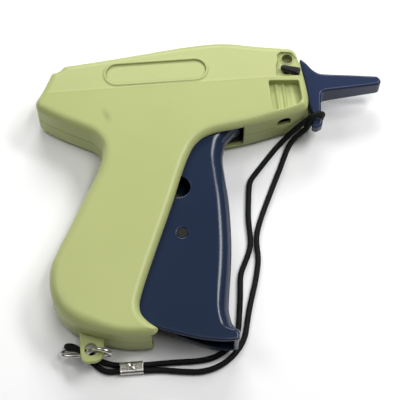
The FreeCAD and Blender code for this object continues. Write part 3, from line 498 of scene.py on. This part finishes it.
def casing_common(x, y, z, right):
    d = F_OUT(x, y)
    dn = F_NOTCH(x, y)
    half = THICK / 2 - crease(y)
    dd = smax(d, -dn, 0.5)
    rear = 1 / (1 + np.exp((y - 22.0) / 5.0)) / (1 + np.exp((x + 47 - 0.26 * (y + 50)) / 3.0))
    out = rounded_slab(dd, ZM, z, half, EDGE + (EDGE_GRIP - EDGE) * rear)
    inner = rounded_slab(smax(d + 2.4, 2.4 - dn, 0.5), ZM, z, half - 2.4, 1.2)
    inner = np.maximum(inner, -rect(x, y, -30.6, -75.0, -20.0, -59.5))
    f = smax(out, -inner, 0.4)
    # bosses, rails and walls inside
    parts = None
    for cx, cy, rad, z0, z1 in [(PIVOT[0], PIVOT[1], 4.2, 0.8, TZ0 - 0.3), (PIVOT[0], PIVOT[1], 4.2, TZ1 + 0.3, THICK - 0.8),
                                (LEVER_PIVOT[0], LEVER_PIVOT[1], 4.4, 0.8, TZ0 - 0.3), (LEVER_PIVOT[0], LEVER_PIVOT[1], 4.4, 15.05, THICK - 0.8),
                                (WHEEL[0], WHEEL[1], 3.2, 0.8, 9.6), (WHEEL[0], WHEEL[1], 3.2, 14.9, THICK - 0.8)] + [
                                    (sx, sy, 3.4, 0.8, THICK - 0.8) for sx, sy in SCREWS]:
        if (z0 > ZM and not right) or (z1 < ZM and right):
            continue
        p = slab(disc(x, y, cx, cy, rad), z, z0, z1, 0.3)
        parts = p if parts is None else np.minimum(parts, p)
    for x0, y0, x1, y1, z0, z1 in [(-58, AXIS_Y - 8.4, 0.5, AXIS_Y - 5.6, 0.8, 8.0), (-58, AXIS_Y - 8.4, 0.5, AXIS_Y - 5.6, 16.5, 23.7),
                                   (-58, AXIS_Y + 5.6, 17, AXIS_Y + 8.4, 0.8, 8.0), (-58, AXIS_Y + 5.6, 17, AXIS_Y + 8.4, 16.5, 23.7),
                                   (38.2, 34, 40.2, 76, 0.8, 8.4), (38.2, 34, 40.2, 76, 16.1, 23.7), (47.6, 41.0, 56, 50.9, 0.8, 23.7),
                                   (49.0, 61.5, 56, 76, 0.8, 23.7), (-70, -36.5, -62.4, -23.5, 7.3, 17.2),
                                   (36.6, 37.6, 55.4, 74.0, 17.6, 23.7)]:
        if (z0 > ZM and not right) or (z1 < ZM and right):
            continue
        p = slab(rect(x, y, x0, y0, x1, y1), z, z0, z1, 0.3)
        parts = np.minimum(parts, p)
    path = np.maximum(rect(x, y, -57, AXIS_Y - 5.5, 17.2, AXIS_Y + 5.5), np.maximum(4.9 - z, z - 19.6))
    path = np.minimum(path, np.maximum(rect(x, y, -60, 40, 20, 78), np.maximum(8.2 - z, z - 16.3)))
    parts = np.maximum(np.maximum(parts, -path), out + 0.5)
    f = smin(f, parts, 0.5)
    f = smax(f, -slab(F_MOUTH(x, y), z, TZ0 - 0.55, TZ1 + 0.55, 0.6), 0.7)
    # the heel stays closed between the trigger's side plates
    heel = smax(np.maximum(rect(x, y, -48, -76, -20, -53, 0.6), x + 27.7 - 0.14 * np.clip(-59.0 - y, 0, 4.6)), np.abs(z - ZM) - 4.95, 0.5)
    f = np.minimum(f, smax(smax(out, -inner, 0.4), heel, 0.5))
    # clip channel, needle seat in front
    slot = slab(rect(x, y, 40.2, 39.2, 47.4, 85), z, ZM - 4.2, ZM + 2.6, 1.2)
    f = smax(f, -slot, 0.5)
    seat = np.maximum(rect(x, y, 48.0, AXIS_Y - 4.3, 60, AXIS_Y + 4.3, 0.5), np.abs(z - ZM) - 4.3)
    f = smax(f, -seat, 0.5)
    for c, r in ((PIVOT, 2.03), (LEVER_PIVOT, 2.03)):
        f = np.maximum(f, -np.maximum(disc(x, y, c[0], c[1], r), np.maximum(1.6 - z, z - (THICK - 1.6))))
    return f


def right_casing(x, y, z):
    f = casing_common(x, y, z, True)
    # raised bead round the label place, then its recess
    cap_d = capsule(x, y, -34.3, 64.45, 2.65, 64.25, 5.45)
    top = THICK - crease(y)
    bead = np.sqrt((cap_d - 0.60) ** 2 + (z - top + 0.25) ** 2) - 0.78
    f = smin(f, bead, 0.35)
    f = smax(f, -smax(cap_d, (top - 0.55) - z, 0.35), 0.3)
    lock = F_LOCK(x, y)
    f = smax(f, -smax(lock, (THICK - 2.3) - z, 0.5), 0.6)
    f = smin(f, np.sqrt((disc(x, y, 47.8, 67.2, 2.9)) ** 2 + (z - THICK + 2.25) ** 2) - 0.35, 0.3)
    f = smax(f, -np.maximum(disc(x, y, 47.8, 67.2, 2.5), (THICK - 5.5) - z), 0.35)
    # finger recess: two ridges, then a step down towards the nose
    fin = F_FINGER(x, y)
    k = x - 0.012 * (47 - y)
    floor = THICK - 4.4 + 1.1 * np.exp(-((k - 41.2) / 0.95) ** 2) + 1.0 * np.exp(-((k - 44.5) / 0.75) ** 2)
    floor = floor + 0.45 / (1 + np.exp((k - 45.4) / 0.18)) + 0.5 * np.exp(-((k - 48.0) / 1.0) ** 2)
    f = smax(f, -smax(fin, floor - z, 0.5), 0.6)
    f = smax(f, -np.maximum(disc(x, y, 46.9, 60.8, 1.9), 12 - z), 0.2)
    # spent clip exit in the underside
    arch = np.minimum(rect(x, z, 40.2, 5.0, 46.6, 15.6, 0.6), np.sqrt((x - 43.4) ** 2 + (z - 15.2) ** 2) - 3.2)
    f = smax(f, -np.maximum(arch, y - 41.0), 0.4)
    f = smax(f, (ZM + 0.04) - z, 0.35)
    return f


def left_casing(x, y, z):
    f = casing_common(x, y, z, False)
    f = smin(f, slab(F_LUG(x, y), z, ZM - 2.6, ZM - 0.04, 0.8), 1.0)
    f = smax(f, -disc(x, y, -54.1, -68.8, 2.8), 0.6)
    # the heel's tip draws back towards the left side
    f = smax(f, -np.maximum(-23.8 - 0.26 * (ZM - z) - x, y + 58.0), 1.2)
    for sx, sy in SCREWS:
        f = smax(f, -np.maximum(disc(x, y, sx, sy, 3.1), z - 4.2), 0.5)
    f = smax(f, z - (ZM - 0.04), 0.35)
    return f


def casing_masks(x, y, z):
    d = F_OUT(x, y)
    # painted shade: the inner walls of the shell, the clip channel and the hole in the lock recess are darkened
    inner = np.clip((np.abs(z - ZM) - (THICK / 2 - 1.5)) / -0.6, 0, 1) * np.clip((d + 1.6) / -0.5, 0, 1)
    clip = np.clip(-rect(x, y, 39.6, 36.9, 47.8, 76) / 0.3, 0, 1) * np.clip((19.2 - z) / 0.3, 0, 1)
    # painted reflection: a darker oval patch beside the throat of the grip
    u, v = (x + 40.6) * 0.94 + (y - 42.0) * 0.34, (x + 40.6) * -0.34 + (y - 42.0) * 0.94
    painted_reflection_patch = np.clip(1.25 - np.sqrt((u / 1.7) ** 2 + (v / 4.3) ** 2), 0, 1) * (z > 20)
    open_top = (np.minimum(F_LOCK(x, y), F_FINGER(x, y)) < 1.0) & (z > 18.6)
    inner = np.where(open_top, 0.0, inner)
    hole = (disc(x, y, 47.8, 67.2, 2.75) < 0) & (z < 22.3) & (z > 18)
    return {"inner": np.maximum(np.maximum(inner * 0.88, inner * clip), hole * 0.45), "painted_reflection_patch": painted_reflection_patch}


H = 0.5
casing_r = implicit_mesh("casing_right_shell", right_casing, (-77, -71, ZM - 0.8), (59, 83, 25.9), H, masks=casing_masks)
casing_l = implicit_mesh("casing_left_shell", left_casing, (-77, -78, -0.8), (59, 83, ZM + 0.8), H, masks=casing_masks)

# ----------------------------------------------------------- trigger's shape
TRIG = [(5.2, 49.4, 5.0), (13.4, 49.0, 5.0), (17.0, 42.4), (22.9, 38.6, 0.8), (22.8, 35.4, 0.8), (18.6, 32.6), (14.4, 28.4), (12.2, 20.0),
        (12.6, 10.0), (13.3, -2.0), (13.1, -13.0), (12.4, -26.0), (10.9, -38.0), (9.2, -48.0), (8.0, -57.0), (9.2, -63.6),
        (12.4, -67.2, 0.7), (11.0, -72.3, 0.7), (5.0, -72.5), (-3.8, -71.0), (-10.2, -69.1), (-16.6, -66.8), (-24.7, -63.6), (-33.6, -58.6, 2.0),
        (-34.6, -49.0), (-32.8, -36.0), (-30.4, -22.0), (-28.0, -8.0), (-28.6, 6.0), (-27.2, 16.5), (-22.0, 21.5), (-10.0, 26.0),
        (-2.0, 34.0), (2.6, 42.0)]
HOLLOW = [(9.0, 36.0, 0.1), (9.3, 20.0), (9.5, 8.0), (9.9, -8.0), (9.6, -20.0), (7.9, -36.0), (5.9, -48.0), (4.9, -58.0),
          (6.4, -66.0), (9.0, -69.2, 0.5), (8.0, -90, 0.1), (-50, -90, 0.1), (-50, 60, 0.1), (9.0, 60, 0.1)]
LOW_CUT = [(-40, -52.6, 0.1), (-33.0, -55.0), (-24.0, -59.8), (-16.6, -63.2), (-7.9, -67.2), (-2.5, -69.7), (3.0, -71.6), (9.1, -73.4, 0.1),
           (9.1, -90, 0.1), (-40, -90, 0.1)]
F_TRIG, F_HOLLOW, F_LOW = Field(TRIG), Field(HOLLOW), Field(LOW_CUT)
DRIVE = (-9.6, -19.1)
_r = math.hypot(LEVER_PIVOT[0] - PIVOT[0], LEVER_PIVOT[1] - PIVOT[1])
_a = math.atan2(LEVER_PIVOT[1] - PIVOT[1], LEVER_PIVOT[0] - PIVOT[0])
ARC = [(PIVOT[0] + _r * math.cos(_a + math.radians(18 * k / 8)), PIVOT[1] + _r * math.sin(_a + math.radians(18 * k / 8))) for k in range(9)]


def trigger(x, y, z):
    d = F_TRIG(x, y)
    front = 1 / (1 + np.exp(-(x - 1.0) / 1.2)) / (1 + np.exp(-(y + 67.5) / 0.9)) / (1 + np.exp(-(36.0 - y) / 1.5))
    r = 0.9 + 5.9 * front
    f = rounded_slab(d, ZM, z, 7.5, r)
    f = smax(f, -smax(F_LOW(x, y), z - ZM, 0.4), 0.8)
    f = smax(f, -slab(F_HOLLOW(x, y), z, TZ0 + 2.0, TZ1 - 2.0, 1.0), 0.6)
    arc = None
    for p, q in zip(ARC[:-1], ARC[1:]):
        c = capsule(x, y, p[0], p[1], q[0], q[1], 5.2)
        arc = c if arc is None else np.minimum(arc, c)
    f = smax(f, -np.maximum(arc, ZM - z), 0.5)
    f = smax(f, -np.maximum(arc + 2.75, z - ZM), 0.4)
    f = smax(f, -disc(x, y, PIVOT[0], PIVOT[1], 2.05), 0.3)
    f = smax(f, -disc(x, y, DRIVE[0], DRIVE[1], 1.52), 0.3)
    f = smax(f, -np.maximum(disc(x, y, DRIVE[0], DRIVE[1], 2.5), TZ1 - 0.7 - z), 0.4)
    seat = np.maximum(rect(x, y, -26.0, -37, -24.0, -23), np.abs(z - ZM) - 5.7)
    seat = np.minimum(seat, np.maximum(np.sqrt((y + 30) ** 2 + (z - ZM) ** 2) - 2.6, np.abs(x + 27) - 2))
    return smin(f, seat, 0.4)


trig = implicit_mesh("trigger_body", trigger, (-36, -76, 3.8), (24.5, 52, 20.8), H)

# --------------------------------------------------------------- cap's shape
CAP = [(54.4, 70.7, 0.5), (57.6, 67.4), (60.0, 63.4), (63.0, 60.9), (68.0, 60.2), (80.0, 59.0), (91.4, 57.6, 2.2), (92.9, 54.9), (91.6, 52.9, 2.0),
       (78.0, 51.9), (62.9, 50.7, 2.6), (62.2, 45.5), (61.6, 41.0), (61.6, 39.0, 3.0), (62.1, 35.9, 1.5), (61.3, 33.7, 1.2), (58.8, 32.5, 1.2),
       (56.5, 33.2, 1.0), (57.0, 36.0, 1.0), (57.5, 39.2, 3.0), (56.4, 43.2), (56.1, 49.0), (55.6, 58.0)]
F_CAP = Field(CAP, 6, 0.3)


def cap(x, y, z):
    taper = 1.1 * np.clip((x - 64) / 31, 0, 1)
    leg = 1 / (1 + np.exp((y - 38.3) / 0.35))
    half = 5.5 - taper - 2.65 * leg
    f = rounded_slab(F_CAP(x, y), ZM, z, half, 1.2)
    f = smax(f, -np.maximum(rect(x, y, 50, AXIS_Y - 4.35, 58.2, AXIS_Y + 4.35), np.abs(z - ZM) - 4.35), 0.3)
    f = smax(f, -np.maximum(np.sqrt((y - AXIS_Y) ** 2 + (z - ZM) ** 2) - 2.3, x - 84.0), 0.3)
    return f


cap_o = implicit_mesh("needle_cap_body", cap, (53.8, 29.6, 5.8), (94.2, 71.2, 18.8), 0.35)

# --------------------------------------------------------- lock lever's shape


def lock_lever(x, y, z):
    ca, sa = math.cos(math.radians(-20)), math.sin(math.radians(-20))
    u, v = (x - 46.9) * ca + (y - 60.8) * sa, -(x - 46.9) * sa + (y - 60.8) * ca
    k = np.clip((u + 2.9) / 9.4, 0, 1)
    side = np.abs(v) - (1.35 + 0.65 * k)
    d = smax(side, np.abs(u - 1.8) - 4.8, 1.4)
    f = rounded_slab(d, 23.95, z, 1.24, 0.75)
    return np.minimum(f, np.maximum(disc(x, y, 46.9, 60.8, 1.8), np.abs(z - 20) - 3.4))


lever_o = implicit_mesh("lock_lever_body", lock_lever, (42.8, 56.4, 16.2), (54.6, 64.2, 25.9), 0.3)

# ------------------------------------------------------------- cord's ferrule


def ferrule(x, y, z):
    bite = np.exp(-((x + 37.0 + 0.55 * (y + 75.1)) / 0.85) ** 2) * np.exp(-((y + 75.1) / 1.5) ** 2)
    flare = 0.10 * np.exp(-((np.abs(x + 37.0) - 5.1) / 0.5) ** 2)
    d = capsule(y, z, -76.75, 1.68, -74.15, 1.68, 1.0)
    f = np.maximum(d - 0.66 - flare, np.abs(x + 37.0) - 5.2)
    f = smax(f, z - (3.34 - 0.55 * bite - 0.06 * np.exp(-((x + 39.6) / 0.5) ** 2)), 0.35)
    f = smax(f, -np.maximum(d - 0.28 + 0.62 * bite, -1.0), 0.12)
    return f


ferrule_o = implicit_mesh("crimped_ferrule", ferrule, (-42.8, -79.2, -0.4), (-31.2, -71.7, 4.0), 0.16)

# ----------------------------------------------------------------- materials


def material(name):
    m = bpy.data.materials.new(name)
    m.use_nodes = True
    nt = m.node_tree
    return m, nt, nt.nodes["Principled BSDF"]


def texco(nt):
    return nt.nodes.new("ShaderNodeTexCoord").outputs["Object"]


def noise(nt, vec, scale, detail=3.0, rough=0.5):
    n = nt.nodes.new("ShaderNodeTexNoise")
    n.inputs["Scale"].default_value = scale
    n.inputs["Detail"].default_value = detail
    n.inputs["Roughness"].default_value = rough
    nt.links.new(vec, n.inputs["Vector"])
    return n.outputs["Fac"]


def ramp(nt, fac, stops):
    r = nt.nodes.new("ShaderNodeValToRGB")
    e = r.color_ramp.elements
    while len(e) < len(stops):
        e.new(0.5)
    for k, (p, c) in enumerate(stops):
        e[k].position = p
        e[k].color = (*c, 1) if hasattr(c, "__len__") else (c, c, c, 1)
    nt.links.new(fac, r.inputs["Fac"])
    return r.outputs["Color"]


def bump(nt, bsdf, heights):
    """heights: (socket, strength, distance) from coarse to fine."""
    last = None
    for h, s, d in heights:
        b = nt.nodes.new("ShaderNodeBump")
        b.inputs["Strength"].default_value = s  # bump
        b.inputs["Distance"].default_value = d
        nt.links.new(h, b.inputs["Height"])
        if last is not None:
            nt.links.new(last, b.inputs["Normal"])
        last = b.outputs["Normal"]
    nt.links.new(last, bsdf.inputs["Normal"])


def attr(nt, key):
    n = nt.nodes.new("ShaderNodeAttribute")
    n.attribute_name = key
    return n.outputs["Fac"]


def mix_col(nt, fac, a, b, mode="MIX"):
    n = nt.nodes.new("ShaderNodeMix")
    n.data_type = "RGBA"
    n.blend_type = mode
    n.clamp_factor = True
    for sock, val in ((n.inputs[0], fac), (n.inputs[6], a), (n.inputs[7], b)):
        if hasattr(val, "is_output"):
            nt.links.new(val, sock)
        elif hasattr(val, "__len__"):
            sock.default_value = (*val, 1)
        else:
            sock.default_value = val
    return n.outputs[2]


def scaled(nt, fac, k):
    n = nt.nodes.new("ShaderNodeMath")
    n.operation = "MULTIPLY"
    n.use_clamp = True
    nt.links.new(fac, n.inputs[0])
    n.inputs[1].default_value = k
    return n.outputs[0]


def plastic(name, dark, light, rough, grain=1.0, coat=0.0, spec=0.5, wear_and_painted_light=False):
    m, nt, b = material(name)
    v = texco(nt)
    broad = noise(nt, v, 28, 3)
    fine = noise(nt, v, 2600, 2)
    mid = noise(nt, v, 420, 4)
    col = ramp(nt, broad, [(0.3, dark), (0.7, light)])
    # lighter edges for wear, plus painted shade in hollows and inside the shell, and a painted reflection patch
    if wear_and_painted_light:
        # painted shade: darker where the surface is closed in, in hollows, creases and recesses
        cavity_shade_col = tuple(c * k for c, k in zip(dark, (0.58, 0.60, 0.50)))
        col = mix_col(nt, scaled(nt, attr(nt, "cavity"), 0.75), col, cavity_shade_col)
        col = mix_col(nt, scaled(nt, attr(nt, "edge"), 0.30), col, tuple(min(1, c * k) for c, k in zip(light, (1.10, 1.10, 1.22))))
        # painted reflection: the darker oval patch beside the throat of the grip
        col = mix_col(nt, scaled(nt, attr(nt, "painted_reflection_patch"), 0.42), col, (0.205, 0.225, 0.105))
        # painted shade: near-black on the inner walls, the clip channel and the hole
        col = mix_col(nt, attr(nt, "inner"), col, (0.030, 0.033, 0.018))
    nt.links.new(col, b.inputs["Base Color"])
    nt.links.new(ramp(nt, mid, [(0.25, rough * 0.92), (0.75, rough * 1.08)]), b.inputs["Roughness"])
    b.inputs["Specular IOR Level"].default_value = spec
    if coat:
        b.inputs["Coat Weight"].default_value = coat
        b.inputs["Coat Roughness"].default_value = 0.12
    bump(nt, b, [(mid, 0.06 * grain, 0.00010), (fine, 0.14 * grain, 0.00003)])
    return m


def metal(name, col, rough, scale=(200, 200, 4000)):
    m, nt, b = material(name)
    v = texco(nt)
    mp = nt.nodes.new("ShaderNodeMapping")
    mp.inputs["Scale"].default_value = scale
    nt.links.new(v, mp.inputs["Vector"])
    n1 = noise(nt, mp.outputs["Vector"], 1.0, 4)
    n2 = noise(nt, v, 900, 4)
    nt.links.new(ramp(nt, n2, [(0.3, tuple(c * 0.82 for c in col)), (0.7, col)]), b.inputs["Base Color"])
    nt.links.new(ramp(nt, n1, [(0.2, rough * 0.7), (0.8, rough * 1.4)]), b.inputs["Roughness"])
    b.inputs["Metallic"].default_value = 1.0
    bump(nt, b, [(n1, 0.08, 0.00002)])
    return m


MAT = {
    "casing_plastic": plastic("casing_plastic", (0.405, 0.445, 0.175), (0.425, 0.465, 0.190), 0.36, 1.0, spec=0.32, wear_and_painted_light=True),
    "navy_plastic": plastic("navy_plastic", (0.0125, 0.0220, 0.0490), (0.0145, 0.0250, 0.0540), 0.20, 0.10, spec=0.36),
    # painted light: a lighter copy of the navy plastic for the cap, which is lit more
    "navy_cap_painted_light": plastic("navy_cap_painted_light", (0.0200, 0.0310, 0.0720), (0.0225, 0.0340, 0.0780), 0.17, 0.10, spec=0.28),
    "black_plastic": plastic("black_plastic", (0.0035, 0.0040, 0.0048), (0.0055, 0.0060, 0.0070), 0.30, 0.5, spec=0.35),
    "nylon": plastic("nylon", (0.60, 0.58, 0.49), (0.66, 0.64, 0.55), 0.42, 0.8),
    "steel_hardware": metal("steel_hardware", (0.52, 0.52, 0.50), 0.32),
    "spring_steel": metal("spring_steel", (0.36, 0.36, 0.36), 0.34),
    "needle_steel": metal("needle_steel", (0.66, 0.66, 0.66), 0.20),
    "nickel": metal("nickel", (0.66, 0.64, 0.60), 0.26, (250, 2500, 250)),
    "dark_pin": plastic("dark_pin", (0.013, 0.014, 0.010), (0.019, 0.020, 0.014), 0.55, 1.5, spec=0.14),
}


def cord_material():
    m, nt, b = material("cord")
    v = texco(nt)
    n1 = noise(nt, v, 6000, 3)
    n2 = noise(nt, v, 240, 3)
    nt.links.new(ramp(nt, n2, [(0.3, (0.0035, 0.0038, 0.0038)), (0.7, (0.0065, 0.0068, 0.0068))]), b.inputs["Base Color"])
    b.inputs["Roughness"].default_value = 0.72
    b.inputs["Specular IOR Level"].default_value = 0.18
    bump(nt, b, [(n1, 0.5, 0.00008)])
    return m


MAT["cord"] = cord_material()


def paint(ob, slot_name):
    ob.data.materials.clear()
    ob.data.materials.append(MAT[slot_name])


for sp in frame["record"]["subparts"]:
    ob = NODE[sp["node"]]
    for k in range(max(1, len(ob.data.materials))):
        if k < len(ob.data.materials):
            ob.data.materials[k] = MAT[sp["material_slot"]]
        else:
            ob.data.materials.append(MAT[sp["material_slot"]])

for n in ("drive_pin", "swing_lever"):
    for k in range(len(NODE[n].data.materials)):
        NODE[n].data.materials[k] = MAT["dark_pin"]

# painted light: the cap takes the lighter copy of the navy plastic
for k in range(len(NODE["needle_cap"].data.materials)):
    NODE["needle_cap"].data.materials[k] = MAT["navy_cap_painted_light"]

for ob, node, body, sl in ((casing_r, "right_casing", "casing", "casing_plastic"), (casing_l, "left_casing", "casing", "casing_plastic"),
                           (lever_o, "lock_lever", "lock_lever", "black_plastic"),
                           (trig, "trigger", "trigger", "navy_plastic"), (cap_o, "needle_cap", "needle_cap", "navy_plastic")):
    paint(ob, sl)
    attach(ob, body)
    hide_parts(node)
# painted light: the lighter copy of the navy plastic
paint(cap_o, "navy_cap_painted_light")

paint(ferrule_o, "nickel")
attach(ferrule_o, "casing")
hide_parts("cord_ferrule")
for k, ob in enumerate(hitches):
    paint(ob, "cord")
    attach(ob, "needle_cap")
    if k == 0:
        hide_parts("cord_knot")
paint(cord, "cord")
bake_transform(cord)
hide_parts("cord")

# --------------------------------------------------------------------- stage
bpy.ops.mesh.primitive_plane_add(size=6, location=(0, 0, -0.00002))
floor = bpy.context.object
floor.name = "floor"
fm, nt, b = material("floor")
b.inputs["Base Color"].default_value = (0.87, 0.87, 0.87, 1)
b.inputs["Roughness"].default_value = 0.7
floor.data.materials.append(fm)


def area(name, loc, size, power, col=(1, 1, 1)):
    li = bpy.data.lights.new(name, "AREA")
    li.shape = "RECTANGLE"
    li.size, li.size_y = size
    li.energy = power
    li.color = col
    ob = link(bpy.data.objects.new(name, li))
    ob.location = loc
    ob.rotation_euler = (Vector((0, 0, 0.01)) - Vector(loc)).to_track_quat("-Z", "Y").to_euler()
    return ob


# LIGHTS BEGIN
area("right", (0.55, 0.25, 0.79), (0.50, 0.23), 5.0)
area("left", (-0.62, 0.22, 0.75), (0.50, 0.40), 2.5)
area("behind", (0.05, 0.80, 0.58), (0.60, 0.30), 5.6)
area("over", (0.00, 0.05, 1.05), (0.40, 0.16), 0.5)
area("front", (0.25, -0.12, 1.02), (0.60, 0.12), 2.9)
w = bpy.data.worlds.new("world")
bpy.context.scene.world = w
w.use_nodes = True
w.node_tree.nodes["Background"].inputs["Color"].default_value = (1, 1, 1, 1)
w.node_tree.nodes["Background"].inputs["Strength"].default_value = 0.05
bpy.context.scene.view_settings.view_transform = "Standard"
